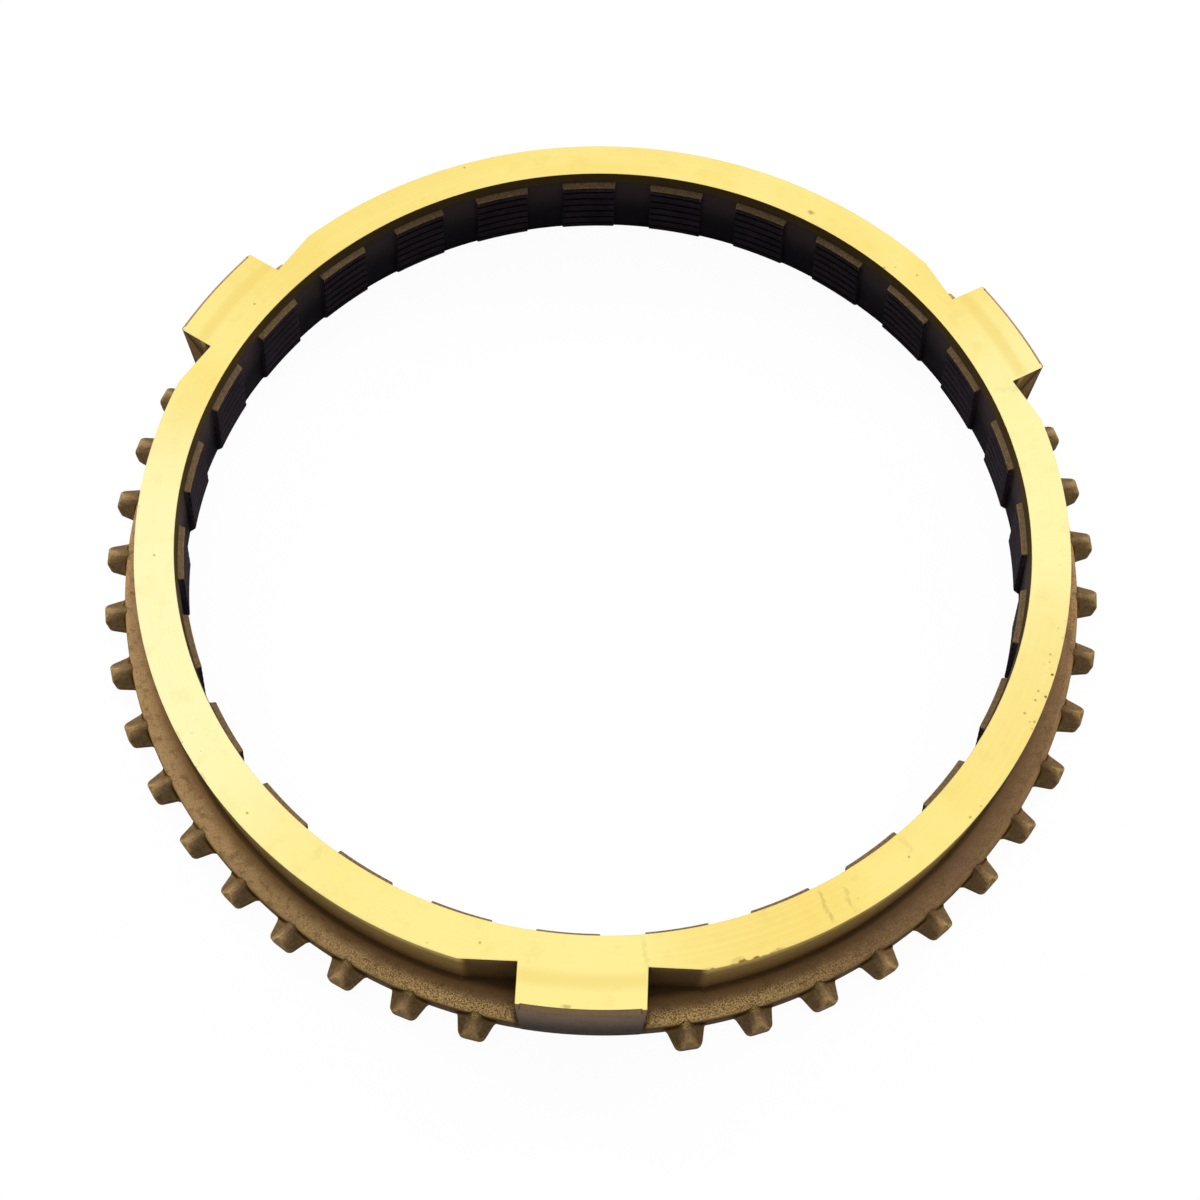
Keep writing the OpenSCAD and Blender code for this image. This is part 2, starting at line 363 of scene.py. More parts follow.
def beside_foot(side, last):
    """Column in the plane of a lug's side, a little off the flat and the ledge, for a narrow fillet."""
    foot, ledge = TOP_ROWS, TOP_ROWS + FOOT_N
    rows = list(side[:TOP_N + EDGE_N])
    rows += [(FLAT_R + ROOT_FILLET, LUG_HALF, z) for _, _, z in side[TOP_N + EDGE_N:foot]]
    inner = FLAT_FOOT - ROOT_FILLET
    for a in quarter(FOOT_N):
        x = FLAT_R + FLAT_FOOT - inner * math.cos(a)
        rows.append((x, LUG_HALF, RIM_H + FLAT_FOOT - inner * math.sin(a)))
    rows += [(x, LUG_HALF, RIM_H + ROOT_FILLET) for x, _, _ in side[ledge:ledge + 2]]
    return rows + last[ledge + 2:]


def outside_columns():
    """All columns of the outside, counter-clockwise, for the three like sectors."""
    half = lug_columns()
    flat_end = math.acos(FLAT_R / COLLAR_R)
    previous = math.atan2(LUG_HALF, FLAT_R)
    for i in range(TEETH_HALF):
        middle = math.radians(TOOTH_PITCH * (i + 1.5))
        begin = middle - TOOTH_REACH
        angles = list(np.linspace(previous, begin, 5)[1:-1])
        if previous < flat_end < begin:
            angles = sorted(angles + [flat_end])
        half += [plain_column(a) for a in angles]
        half += tooth_columns(middle)
        previous = middle + TOOTH_REACH
    half += [plain_column(a) for a in np.linspace(previous, math.radians(60), 3)[1:]]
    half = np.array(half, float)
    sector = np.concatenate([half[::-1] * np.array([1, -1, 1]), half[1:-1]], 0)
    columns = []
    for i in range(3):
        a = math.radians(120 * i - 90)
        turn = np.array([[math.cos(a), math.sin(a), 0], [-math.sin(a), math.cos(a), 0], [0, 0, 1]])
        columns.append(sector @ turn)
    return np.concatenate(columns, 0)


def wall_at(z):
    return LAND_R + max(0.0, TAPER_TOP - z) * CONE


def face_at(z):
    return LAND_R - PAD_H + (PAD_TOP - z) * CONE


def pad_rows():
    """Profile of a friction pad from the land to its foot, as radius and height."""
    e, f, low = PAD_BREAK, ROOT_FILLET, PAD_TOP - LEDGE_FALL
    top = face_at(low)
    rows = [(LAND_R, PAD_TOP + f), (LAND_R - f, PAD_TOP - f * LEDGE_FALL)]
    rows += [((LAND_R + top) / 2, (PAD_TOP + low) / 2), (top + e, low + e * LEDGE_FALL)]
    rows += [(top + MID * e, low - MID * e), (face_at(low - e), low - e)]
    for i in range(GROOVES):
        mid = PAD_TOP - (i + 1) * GROOVE_PITCH
        for rise, depth in GROOVE_UPPER + [(-rise, depth) for rise, depth in reversed(GROOVE_UPPER)]:
            rows.append((face_at(mid + rise) + depth, mid + rise))
    # Lower chamfer with softened edges, and the foot on the wall
    foot = PAD_LIFT + PAD_CHAMFER
    low_r = face_at(foot) + PAD_CHAMFER
    rows += [(face_at(foot + 0.1), foot + 0.1), (face_at(foot) + 0.07, foot - 0.07)]
    rows += [(low_r - 0.08, PAD_LIFT + 0.08), (low_r + 0.06, PAD_LIFT), (wall_at(PAD_LIFT) - 0.05, PAD_LIFT)]
    return rows + [(wall_at(PAD_LIFT - 0.05), PAD_LIFT - 0.05)]


def inside_column(angle, recess=None):
    """Column of the bore; recess is how far the edge of a pad is drawn back, or None between pads."""
    rows = [(TOP_IN, RING_H), ((TOP_IN + LAND_R) / 2, RING_H), (LAND_R + BORE_BREAK, RING_H)]
    for a in quarter(EDGE_N):
        rows.append((LAND_R + BORE_BREAK * (1 - math.sin(a)), RING_H - BORE_BREAK * (1 - math.cos(a))))
    rows.append((LAND_R, (RING_H + PAD_TOP) / 2))
    for r, z in pad_rows():
        wall = wall_at(z)
        if recess is None:
            r = wall
        else:
            r = min(max(r, face_at(z) + recess), max(wall, r))
        rows.append((r, z))
    foot = wall_at(BACK_CHAMFER)
    rows += [(foot, BACK_CHAMFER), (foot + BACK_CHAMFER, 0.0), (BACK_IN, 0.0)]
    return [(*polar(r, angle), z) for r, z in rows]


def inside_columns():
    """All columns of the bore, counter-clockwise, for the like friction pads."""
    half = math.asin(PAD_W / 2 / face_at(PAD_TOP))
    edge = PAD_BREAK / face_at(PAD_TOP)
    foot = half + ROOT_FILLET / LAND_R
    side = [(half - edge, 0.0), (half - MID * edge, MID * PAD_BREAK), (half, PAD_BREAK)]
    pad = [(-a, recess) for a, recess in reversed(side)]
    pad += [(a * half, 0.0) for a in (-0.66, -0.33, 0.0, 0.33, 0.66)]
    pad += side
    pitch = 2 * math.pi / PADS
    gap = [(a, None) for a in np.linspace(foot, pitch - foot, 6)]
    columns = []
    for i in range(PADS):
        middle = math.radians(PAD_TURN - 90) + i * pitch
        columns += [inside_column(middle + a, recess) for a, recess in pad + gap]
    return np.array(columns, float)


def joined(points, index, other_index):
    """Triangles between two closed rings of points, the outer one first, walked by their angles."""
    def ordered(ids):
        ids = np.array(list(dict.fromkeys(ids.tolist())))
        angles = np.arctan2(points[ids, 1], points[ids, 0])
        shift = -int(np.argmin(angles))
        return np.roll(ids, shift).tolist(), np.roll(angles, shift)

    first, first_a = ordered(index)
    second, second_a = ordered(other_index)
    i = j = 0
    n, m = len(first), len(second)
    faces = []
    while i < n or j < m:
        next_i = first_a[(i + 1) % n] + (2 * math.pi if i + 1 >= n else 0)
        next_j = second_a[(j + 1) % m] + (2 * math.pi if j + 1 >= m else 0)
        if j >= m or (i < n and next_i <= next_j):
            faces.append([first[i % n], first[(i + 1) % n], second[j % m]])
            i += 1
        else:
            faces.append([first[i % n], second[(j + 1) % m], second[j % m]])
            j += 1
    return faces


def ring_mesh():
    """Points in millimetres and faces of one closed mesh of the whole ring."""
    grids = [outside_columns(), inside_columns()]
    points = np.concatenate([g.reshape(-1, 3) for g in grids], 0)
    points, ids = np.unique(np.round(points, 5), axis=0, return_inverse=True)
    ids = ids.ravel()
    faces, start, rings = [], 0, []
    for k, g in enumerate(grids):
        columns, rows = g.shape[:2]
        at = ids[start:start + columns * rows].reshape(columns, rows)
        start += columns * rows
        rings.append(at)
        beside = np.roll(at, -1, axis=0)
        quads = np.stack([at[:, :-1], beside[:, :-1], beside[:, 1:], at[:, 1:]], -1).reshape(-1, 4)
        if k == 0:
            quads = quads[:, ::-1]
        for quad in quads.tolist():
            corners = list(dict.fromkeys(quad))
            if len(corners) > 2:
                faces.append(corners)
    faces += joined(points, rings[0][:, 0], rings[1][:, 0])
    faces += [f[::-1] for f in joined(points, rings[0][:, -1], rings[1][:, -1])]
    return points, faces


# Finishes, in the order of the material slots
TURNED, FORGED, BORE, BACK = range(4)

# Angles from which the shading breaks: anywhere, and beside a flat face
SHARP, SLIGHT = math.radians(40), math.radians(8)


def zone_of(corners):
    """Which finish a face has, from its corner points in millimetres."""
    x, y, z = corners.mean(0)
    r = math.hypot(x, y)
    if corners[:, 2].max() < 0.01:
        return BACK
    on_top = corners[:, 2].min() > RING_H - TOP_BREAK - 0.005
    if on_top and (r < LUG_R - LUG_CHAMFER - 0.03 or z > RING_H - 0.01):
        return TURNED
    return FORGED if r > BORE_END or (r > TOP_IN and z > PAD_TOP) else BORE


def is_crisp(edge, angle):
    """Whether the shading breaks at an edge: sharp corners, rims of flat faces, starts of flats."""
    if angle > SHARP:
        return True
    level = [abs(f.normal.z) > 0.9999 for f in edge.link_faces]
    if any(level) and not all(level):
        return angle > SLIGHT
    upright = abs(edge.verts[0].co.z - edge.verts[1].co.z) > 0.5 * MM
    return upright and angle > SLIGHT and edge.verts[0].co.xy.length > FLATS_START * MM


def make_ring():
    points, faces = ring_mesh()
    mesh = bpy.data.meshes.new("synchronizer_ring_finished")
    mesh.from_pydata((points * MM).tolist(), [], faces)
    mesh.validate()
    ring = bpy.data.objects.new("synchronizer_ring_finished", mesh)
    bpy.context.scene.collection.objects.link(ring)
    mesh.polygons.foreach_set("material_index", [zone_of(points[f]) for f in faces])
    mesh.shade_smooth()

    # How convex or hollow the surface is at each point, for worn edges and painted shade in the hollows
    edit = bmesh.new()
    edit.from_mesh(mesh)
    convex, hollow = np.zeros(len(points)), np.zeros(len(points))
    for edge in edit.edges:
        angle = edge.calc_face_angle_signed(0.0)
        for v in edge.verts:
            convex[v.index] = max(convex[v.index], angle)
            hollow[v.index] = max(hollow[v.index], -angle)
        edge.smooth = not is_crisp(edge, abs(angle))
    edit.to_mesh(mesh)
    edit.free()
    full = math.radians(30)
    for name, values in (("edge", convex), ("hollow", hollow)):
        layer = mesh.attributes.new(name, "FLOAT", "POINT")
        layer.data.foreach_set("value", np.clip(values / full, 0, 1).astype(np.float32))

    weighted = ring.modifiers.new("even_normals", "WEIGHTED_NORMAL")
    weighted.keep_sharp = True
    weighted.weight = 60
    return ring


class Nodes:
    """Short ways to write a node tree."""

    def __init__(self, tree):
        self.tree = tree
        tree.nodes.clear()

    def add(self, kind, inputs=(), **settings):
        n = self.tree.nodes.new(kind)
        for key, value in settings.items():
            setattr(n, key, value)
        for key, value in dict(inputs).items():
            self.put(n.inputs[key], value)
        return n

    def put(self, socket, value):
        if isinstance(value, bpy.types.NodeSocket):
            self.tree.links.new(value, socket)
        else:
            socket.default_value = value

    def math(self, operation, a, b=0.0):
        return self.add("ShaderNodeMath", {0: a, 1: b}, operation=operation).outputs[0]

    def step(self, value, low, high, to_low=0.0, to_high=1.0):
        """Smooth step from low to high; low may be the larger one."""
        n = self.add("ShaderNodeMapRange", interpolation_type="SMOOTHSTEP")
        if low > high:
            low, high, to_low, to_high = high, low, to_high, to_low
        for key, v in enumerate((value, low, high, to_low, to_high)):
            self.put(n.inputs[key], v)
        return n.outputs[0]

    def mix(self, share, a, b):
        n = self.add("ShaderNodeMix", data_type="RGBA")
        self.put(n.inputs[0], share)
        self.put(n.inputs[6], a)
        self.put(n.inputs[7], b)
        return n.outputs[2]

    def tint(self, base, tone, mask, share):
        """A colour that turns to a tone by a share of a mask."""
        return self.mix(self.math("MULTIPLY", mask, share), base, tone)

    def join(self, x, y, z):
        return self.add("ShaderNodeCombineXYZ", {0: x, 1: y, 2: z}).outputs[0]

    def noise(self, vector, scale, detail, rough):
        inputs = {"Vector": vector, "Scale": scale, "Detail": detail, "Roughness": rough}
        return self.add("ShaderNodeTexNoise", inputs).outputs[0]

    def attribute(self, name):
        return self.add("ShaderNodeAttribute", attribute_name=name).outputs["Fac"]


def place_fields(n):
    """Position in millimetres, radius, height and the unit direction from the axis."""
    where = n.add("ShaderNodeTexCoord").outputs["Object"]
    mm = n.add("ShaderNodeVectorMath", {0: where, "Scale": 1000.0}, operation="SCALE").outputs[0]
    parts = n.add("ShaderNodeSeparateXYZ", {0: mm}).outputs
    x, y, z = parts[0], parts[1], parts[2]
    r = n.math("SQRT", n.math("ADD", n.math("MULTIPLY", x, x), n.math("MULTIPLY", y, y)))
    direction = {"cos": n.math("DIVIDE", x, r), "sin": n.math("DIVIDE", y, r)}
    return {"mm": mm, "x": x, "y": y, "z": z, "r": r, **direction}


def dot(n, x, y, degrees):
    """How far x and y reach in the direction of an angle."""
    a = math.radians(degrees)
    return n.math("ADD", n.math("MULTIPLY", x, math.cos(a)), n.math("MULTIPLY", y, math.sin(a)))


def at_angle(p, n, degrees, width):
    """Soft mask: 1 at an angle counter-clockwise from the front lug, and 0 width degrees away."""
    return n.step(dot(n, p["cos"], p["sin"], degrees - 90), math.cos(math.radians(width)), 1.0)


def local(p, n, degrees):
    """Millimetres along the radius at an angle from the front lug, and to the side of it."""
    return dot(n, p["x"], p["y"], degrees - 90), dot(n, p["x"], p["y"], degrees)


# Cosines of the angles between which the mask of a lug fades
LUG_MASK_OUT, LUG_MASK_IN = math.cos(math.radians(7.3)), math.cos(math.radians(6.75))


def near_lugs(p, n):
    """1 over the width of each lug."""
    mask = 0.0
    for degrees in (-90, 30, 150):
        along = dot(n, p["cos"], p["sin"], degrees)
        mask = n.math("MAXIMUM", mask, n.step(along, LUG_MASK_OUT, LUG_MASK_IN))
    return mask


def spot(p, n, degrees, radius, size, stretch, wobble):
    """Soft mark at an angle from the front lug and a radius; stretch lengthens it along the ring."""
    out, side = local(p, n, degrees)
    out = n.math("SUBTRACT", out, radius)
    side = n.math("DIVIDE", side, stretch)
    d = n.math("SQRT", n.math("ADD", n.math("MULTIPLY", out, out), n.math("MULTIPLY", side, side)))
    d = n.math("ADD", d, n.math("MULTIPLY", n.math("SUBTRACT", wobble, 0.5), size * 1.6))
    return n.step(d, size, size * 0.25)


def streak(p, n, degrees, inner, outer, width, wobble, sway):
    """Thin uneven line across the top face at an angle from the front lug, between two radii."""
    out, side = local(p, n, degrees)
    side = n.math("ABSOLUTE", n.math("ADD", side, n.math("MULTIPLY", n.math("SUBTRACT", wobble, 0.5), sway)))
    line = n.step(side, width, width * 0.3)
    ends = n.math("MULTIPLY", n.step(out, inner - 0.4, inner + 0.2), n.step(out, outer + 0.4, outer - 0.2))
    return n.math("MULTIPLY", line, ends)


def pits(n, vector, scale, size, share):
    """Scattered small round pits: a mask that is 1 in a pit; size is a part of the spacing."""
    cells = n.add("ShaderNodeTexVoronoi", {"Vector": vector, "Scale": scale, "Randomness": 1.0}).outputs
    chosen = n.add("ShaderNodeSeparateColor", {0: cells["Color"]}).outputs[0]
    near = n.step(cells["Distance"], size, size * 0.4)
    return n.math("MULTIPLY", near, n.math("LESS_THAN", chosen, share))


def both(n, *masks):
    """Product of several masks."""
    product = masks[0]
    for mask in masks[1:]:
        product = n.math("MULTIPLY", product, mask)
    return product


def colour(r, g, b):
    """Linear colour of an sRGB colour given as 0 to 255."""
    def linear(v):
        v /= 255
        return v / 12.92 if v <= 0.04045 else ((v + 0.055) / 1.055) ** 2.4
    return (linear(r), linear(g), linear(b), 1.0)


def new_material(name):
    material = bpy.data.materials.new(name)
    material.use_nodes = True
    n = Nodes(material.node_tree)
    shader = n.add("ShaderNodeBsdfPrincipled")
    out = n.add("ShaderNodeOutputMaterial")
    n.tree.links.new(shader.outputs[0], out.inputs[0])
    return material, n, shader


def bumped(n, shader, *layers):
    """Chains bump nodes: each layer is a height, a strength and a depth in millimetres."""
    normal = None
    for height, strength, depth in layers:
        inputs = {"Height": height, "Strength": strength, "Distance": depth * MM}
        if normal is not None:
            inputs["Normal"] = normal
        normal = n.add("ShaderNodeBump", inputs).outputs[0]
    n.put(shader.inputs["Normal"], normal)


def circular_lines(p, n, per_mm):
    """Noise drawn out along the ring, as fine turning lines."""
    turn = [n.math("MULTIPLY", p[key], 1.3) for key in ("cos", "sin")]
    return n.noise(n.join(n.math("MULTIPLY", p["r"], per_mm), *turn), 1.0, 5.0, 0.65)


def turned_brass():
    """Bright face turned on a lathe, with fine circular lines, pits and a few old marks."""
    material, n, shader = new_material("turned_brass")
    p = place_fields(n)
    lines = circular_lines(p, n, 5.0)
    cloud = n.noise(p["mm"], 0.07, 3.0, 0.5)
    patch = n.noise(p["mm"], 0.45, 4.0, 0.6)
    grain = n.noise(p["mm"], 5.0, 3.0, 0.6)
    speckle = n.noise(p["mm"], 1.6, 4.0, 0.65)

    # Painted reflections round the ring: paler highlights at the front and the two sides; warmer tone at the
    # rear and the right
    base = n.mix(n.step(cloud, 0.35, 0.68), colour(249, 224, 124), colour(252, 233, 142))
    for degrees, width, share, tone in (
            (-12, 40, 0.7, colour(253, 239, 154)), (-70, 40, 0.9, colour(254, 250, 192)),
            (95, 36, 0.85, colour(254, 247, 178)), (66, 20, 0.5, colour(246, 217, 122)),
            (20, 14, 0.6, colour(247, 217, 118)), (-140, 26, 0.5, colour(247, 218, 116))):
        base = n.tint(base, tone, at_angle(p, n, degrees, width), share)
    base = n.tint(base, colour(254, 240, 168), n.step(lines, 0.35, 0.75), 0.3)
    base = n.tint(base, colour(232, 198, 104), n.step(patch, 0.52, 0.72), 0.16)
    base = n.tint(base, colour(224, 190, 100), n.step(grain, 0.55, 0.8), 0.12)

    # The collar's edge shows faintly across the lugs
    seam = both(n, n.step(p["r"], COLLAR_R - 1.0, COLLAR_R),
                n.step(p["r"], COLLAR_R + 1.4, COLLAR_R + 0.4), near_lugs(p, n))
    base = n.tint(base, colour(238, 206, 106), seam, 0.4)

    # Old marks: stains across the face, smudges, pits near the outer edge and a nibbled edge
    stain = None
    for degrees, inner, outer, width, strength in (
            (28.6, 46.6, 49.6, 0.36, 0.24), (31.6, 47.4, 49.9, 0.3, 0.2), (6.9, 46.4, 49.0, 0.4, 0.12),
            (41, 46.5, 48.2, 0.5, 0.1), (-34, 46.3, 47.9, 0.5, 0.08), (112, 46.6, 49.4, 0.5, 0.1)):
        line = n.math("MULTIPLY", streak(p, n, degrees, inner, outer, width, patch, 3.0), strength)
        line = n.math("MULTIPLY", line, n.step(speckle, 0.25, 0.6))
        stain = line if stain is None else n.math("MAXIMUM", stain, line)
    for degrees, radius, size, stretch, strength in (
            (151, 47.3, 0.45, 1.6, 0.5), (-1.5, 52.85, 0.26, 2.4, 0.4), (17, 49.9, 0.4, 2.6, 0.2)):
        mark = n.math("MULTIPLY", spot(p, n, degrees, radius, size, stretch, speckle), strength)
        stain = n.math("MAXIMUM", stain, mark)
    base = n.mix(stain, base, colour(122, 88, 34))
    few = pits(n, p["mm"], 0.8, 0.16, 0.1)
    many = both(n, pits(n, p["mm"], 1.5, 0.3, 0.7), at_angle(p, n, 70, 9), n.step(p["r"], 48.6, 49.5))
    some = both(n, pits(n, p["mm"], 1.6, 0.2, 0.4), at_angle(p, n, -53.5, 6),
                n.step(p["r"], 48.4, 49.4, 0.0, 0.6))
    holes = n.math("MAXIMUM", n.math("MULTIPLY", few, 0.55), n.math("MAXIMUM", many, some))
    base = n.tint(base, colour(104, 74, 28), holes, 0.85)
    rough_edge = n.math("MAXIMUM", at_angle(p, n, 17.5, 6), n.math("MULTIPLY", at_angle(p, n, -53, 5), 0.4))
    ragged = n.math("ADD", p["r"], n.math("MULTIPLY", n.noise(p["mm"], 0.9, 4.0, 0.65), 1.7))
    nibbled = both(n, n.step(ragged, COLLAR_R + 0.78, COLLAR_R + 0.95), rough_edge,
                   n.step(p["r"], LUG_R - 1.5, LUG_R - 2))
    base = n.mix(nibbled, base, colour(146, 112, 54))
    n.put(shader.inputs["Base Color"], base)
    shader.inputs["Metallic"].default_value = 1.0
    texture = n.math("ADD", n.math("MULTIPLY", lines, 0.6), n.math("MULTIPLY", grain, 0.4))
    damage = n.math("MULTIPLY", n.math("MAXIMUM", stain, holes), 0.3)
    rough = n.math("ADD", n.step(texture, 0.2, 0.8, 0.28, 0.42), damage)
    n.put(shader.inputs["Roughness"], rough)
    shader.inputs["Anisotropic"].default_value = 0.5
    tangent = n.add("ShaderNodeTangent", direction_type="RADIAL", axis="Z")
    n.put(shader.inputs["Tangent"], tangent.outputs[0])
    bumped(n, shader, (lines, 0.3, 0.02), (grain, 0.2, 0.02), (n.math("SUBTRACT", 1.0, holes), 0.5, 0.08))
    return material


def forged_brass():
    """Outside with its forging skin: brown oxide, granular ledge and worn edges, with painted shade in the
    hollows and painted light and shade on the wall, ledge, rim, teeth and lugs.
    """
    material, n, shader = new_material("forged_brass")
    p = place_fields(n)
    cloud = n.noise(p["mm"], 0.1, 3.0, 0.5)
    patch = n.noise(p["mm"], 0.5, 4.0, 0.6)
    grit = n.noise(p["mm"], 3.2, 4.0, 0.7)
    fine = n.noise(p["mm"], 9.0, 2.0, 0.6)
    uneven = n.math("SUBTRACT", patch, 0.5)
    r, z = p["r"], p["z"]

    # Oxide: olive to reddish brown
    base = n.mix(n.step(patch, 0.3, 0.7), colour(120, 92, 48), colour(146, 116, 66))
    base = n.tint(base, colour(116, 84, 58), n.step(cloud, 0.4, 0.65), 0.45)

    # Wall of the collar: turned under the top face, with a painted highlight near the top and painted shade
    # towards the foot
    wall = both(n, n.step(z, RIM_H + 0.1, RIM_H + 0.5), n.step(r, COLLAR_R + 0.7, COLLAR_R + 0.3))
    wall_lines = n.noise(n.join(n.math("MULTIPLY", z, 4.0), p["cos"], p["sin"]), 1.0, 4.0, 0.6)
    # Painted shade: the wall darkens towards its foot
    low = n.step(n.math("ADD", z, n.math("MULTIPLY", uneven, 3.0)), 9.8, 4.2)
    wall_tone = n.mix(n.step(wall_lines, 0.3, 0.7), colour(128, 100, 54), colour(152, 124, 72))
    wall_tone = n.tint(wall_tone, colour(112, 84, 50), low, 0.85)
    # Painted highlight under the top face, stronger at the front
    high = n.step(n.math("ADD", z, n.math("MULTIPLY", uneven, 1.5)), 9.3, 11.0)
    wall_highlight_share = n.math("ADD", n.math("MULTIPLY", at_angle(p, n, 0, 30), 0.3), 0.6)
    wall_tone = n.tint(wall_tone, colour(214, 184, 112), high, wall_highlight_share)
    wall_tone = n.tint(wall_tone, colour(104, 83, 44), at_angle(p, n, -48, 30), 0.65)
    # Painted shade on the flats beside the lugs
    wall_tone = n.mix(n.step(r, COLLAR_R - 0.01, COLLAR_R - 0.2, 0.0, 0.85), wall_tone, colour(64, 44, 27))
    base = n.tint(base, wall_tone, wall, 0.9)

    # Ledge: painted shade along the foot of the wall, granular and tan towards the rim
    ledge = both(n, n.step(z, RIM_H - 0.5, RIM_H - 0.25), n.step(z, RIM_H + 0.5, RIM_H + 0.15),
                 n.step(r, FLATS_START, FLATS_START + 0.4))
    # Painted shade: the ledge darkens inwards towards the wall
    out = n.step(n.math("ADD", r, n.math("MULTIPLY", uneven, 1.2)), 50.6, 52.3)
    sand = n.noise(p["mm"], 6.5, 3.0, 0.6)
    tan = n.mix(n.step(sand, 0.34, 0.68), colour(130, 100, 66), colour(176, 142, 98))
    tan = n.tint(tan, colour(122, 94, 74), n.step(cloud, 0.45, 0.62), 0.3)
    # Painted light on the front left of the ledge
    tan = n.tint(tan, colour(190, 158, 110), at_angle(p, n, -52, 40), 0.35)
    mottle = n.noise(p["mm"], 1.1, 4.0, 0.65)
    tan = n.mix(n.step(mottle, 0.48, 0.68, 0.0, 0.55), tan, colour(92, 68, 42))
    # Painted glints on the front of the ledge
    glint = both(n, at_angle(p, n, 0, 38), n.step(r, 51.4, 52.4), n.step(sand, 0.4, 0.62))
    tan = n.tint(tan, colour(240, 202, 130), glint, 0.9)
    ledge_tone = n.mix(out, colour(122, 92, 56), tan)
    ledge_tone = n.tint(ledge_tone, colour(104, 80, 60), at_angle(p, n, 54, 36), 0.6)
    # Painted shade along the foot of the wall
    ledge_tone = n.mix(n.step(r, 50.9, 50.0, 0.0, 0.8), ledge_tone, colour(58, 42, 23))
    base = n.mix(ledge, base, ledge_tone)

    # Side of the rim between the teeth, darkened as painted shade
    rim = both(n, n.step(z, RIM_H - 0.35, RIM_H - 0.75), n.step(r, RIM_R + 0.35, RIM_R + 0.1))
    base = n.tint(base, colour(66, 46, 24), rim, 0.85)

    # Teeth: a painted highlight along the crest, weaker on the right front, and painted shade down the flanks
    tooth = n.step(r, RIM_R + 0.1, RIM_R + 0.6)
    tooth_tone = n.mix(n.step(grit, 0.3, 0.7), colour(86, 67, 42), colour(112, 92, 66))
    turn = n.math("DEGREES", n.math("ARCTAN2", p["y"], p["x"]))
    off = n.math("SUBTRACT", TOOTH_PITCH / 2, n.math("PINGPONG", turn, TOOTH_PITCH / 2))
    across = n.math("MULTIPLY", n.math("RADIANS", off), r)
    ragged = n.math("ADD", across, n.math("MULTIPLY", uneven, 0.5))
    # Painted highlight along the flat crest of each tooth
    crest = both(n, n.step(ragged, 0.95, 0.5), n.step(z, 1.9, 2.2))
    crest_lit_tone = n.mix(n.step(grit, 0.3, 0.7), colour(122, 98, 66), colour(152, 126, 92))
    shaded = n.math("SUBTRACT", 1.0, n.math("MULTIPLY", at_angle(p, n, 72, 42), 0.7))
    tooth_tone = n.tint(tooth_tone, crest_lit_tone, crest, shaded)
    # Painted shade down the flanks, towards the rim
    tooth_tone = n.mix(n.step(z, 1.9, 1.2), tooth_tone, colour(72, 52, 30))
    base = n.tint(base, tooth_tone, tooth, 0.9)

    # Outside of the lugs: greyer, darker downwards partly as patina and partly as painted shade, with a
    # lighter chamfer
    lug = both(n, n.step(r, LUG_R - 0.8, LUG_R - 0.5), near_lugs(p, n))
    lug_tone = n.mix(n.step(z, 2.0, 11.0), colour(46, 37, 31), colour(128, 104, 84))
    lug_tone = n.tint(lug_tone, colour(78, 63, 51), n.step(patch, 0.45, 0.7), 0.3)
    chamfer = n.step(z, RING_H - LUG_CHAMFER - 0.15, RING_H - LUG_CHAMFER + 0.1)
    lug_tone = n.mix(chamfer, lug_tone, colour(118, 97, 82))
    base = n.mix(lug, base, lug_tone)

    # Worn edges, painted shade in the hollows, dark grains and painted shade along the lower edge by the
    # floor
    edge, hollow = n.attribute("edge"), n.attribute("hollow")
    worn = n.step(n.math("ADD", edge, n.math("MULTIPLY", grit, 0.6)), 0.85, 1.4)
    base = n.tint(base, colour(186, 152, 92), worn, 0.4)
    # Painted shade in the hollows
    painted_hollow_shade = n.step(n.math("ADD", hollow, n.math("MULTIPLY", uneven, 0.4)), 0.1, 0.9)
    base = n.tint(base, colour(46, 32, 16), painted_hollow_shade, 0.75)
    base = n.tint(base, colour(60, 42, 22), n.step(fine, 0.6, 0.75), 0.3)
    # Painted shade along the lower edge, by the floor
    base = n.mix(n.step(z, 0.8, 0.25, 0.0, 0.85), base, colour(40, 30, 18))
    n.put(shader.inputs["Base Color"], base)
    shader.inputs["Specular IOR Level"].default_value = 0.02
    n.put(shader.inputs["Roughness"], n.step(grit, 0.2, 0.8, 0.5, 0.72))
    bumped(n, shader, (patch, 0.25, 0.15), (grit, 0.5, 0.09), (fine, 0.3, 0.03))
    return material


